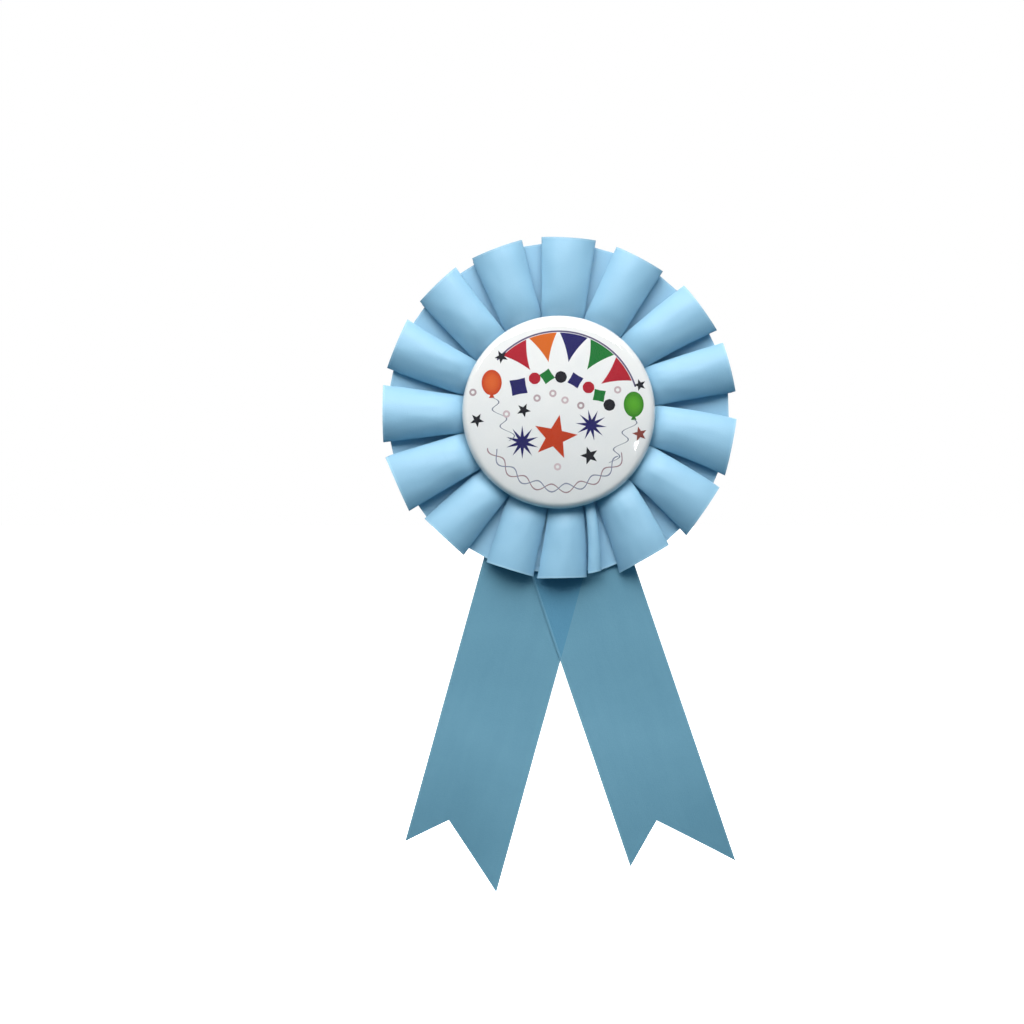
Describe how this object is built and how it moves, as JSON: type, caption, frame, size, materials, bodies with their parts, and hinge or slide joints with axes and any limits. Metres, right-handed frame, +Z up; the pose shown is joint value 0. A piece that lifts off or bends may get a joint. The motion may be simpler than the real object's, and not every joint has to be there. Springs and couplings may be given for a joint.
{
  "type": "award ribbon",
  "caption": "Award ribbon: round button in a rosette of box-pleated satin, two swallow-tailed ribbon tails below, and a bar pin with a roll-over catch on the back.",
  "frame": {"origin": "middle of the pin needle's free length, on its axis", "axes": "+X along the needle towards its tip, +Z up as worn, and the button faces -Y"},
  "size_m": [0.1059, 0.0192, 0.1971],
  "materials": {
    "pleat_satin": "glossy light blue satin ribbon, pleated",
    "tail_satin": "light blue satin ribbon, its duller side showing",
    "thread": "twisted polyester thread",
    "core_card": "uncoated card",
    "backing_card": "smooth white card",
    "button_film": "clear glossy polyester film",
    "button_print": "white printed paper",
    "button_steel": "tinplate",
    "hot_glue": "milky hot-melt glue",
    "staple_wire": "galvanised wire",
    "nickel": "nickel plated, lightly brushed",
    "needle_steel": "polished wire"
  },
  "bodies": {
    "rosette": {"pleated_ribbon": "pleat_satin", "gather_stitches": "thread", "core_disc": "core_card", "button_film": "button_film", "button_print": "button_print", "button_shell": "button_steel", "button_back_plate": "button_steel", "button_glue": "hot_glue", "left_tail_top": "tail_satin", "right_tail_top": "tail_satin", "tail_glue": "hot_glue", "tail_staple": "staple_wire", "backing_glue": "hot_glue", "backing_disc": "backing_card", "pin_glue": "hot_glue", "pin_bar": "nickel", "pin_rivet": "nickel"},
    "needle": {"pin_needle": "needle_steel"},
    "lock": {"pin_lock": "nickel"},
    "left_tail": {"left_tail": "tail_satin"},
    "right_tail": {"right_tail": "tail_satin"}
  },
  "joints": [
    {"name": "needle_open", "type": "hinge", "parent": "rosette", "child": "needle", "pos_m": [-0.01102, 0, 0], "axis": [0, 0, 1], "range_deg": [0, 100]},
    {"name": "lock_turn", "type": "hinge", "parent": "rosette", "child": "lock", "pos_m": [0.0125, 0, 0], "axis": [1, 0, 0], "range_deg": [0, 110]},
    {"name": "left_tail_lift", "type": "hinge", "parent": "rosette", "child": "left_tail", "pos_m": [0, -0.0061, -0.0635], "axis": [-1, 0, 0], "range_deg": [0, 90]},
    {"name": "right_tail_lift", "type": "hinge", "parent": "rosette", "child": "right_tail", "pos_m": [0, -0.0061, -0.0635], "axis": [-1, 0, 0], "range_deg": [0, 90]}
  ],
  "couplings": [
    {"joint": "right_tail_lift", "follows": "left_tail_lift", "ratio": 1}
  ]
}
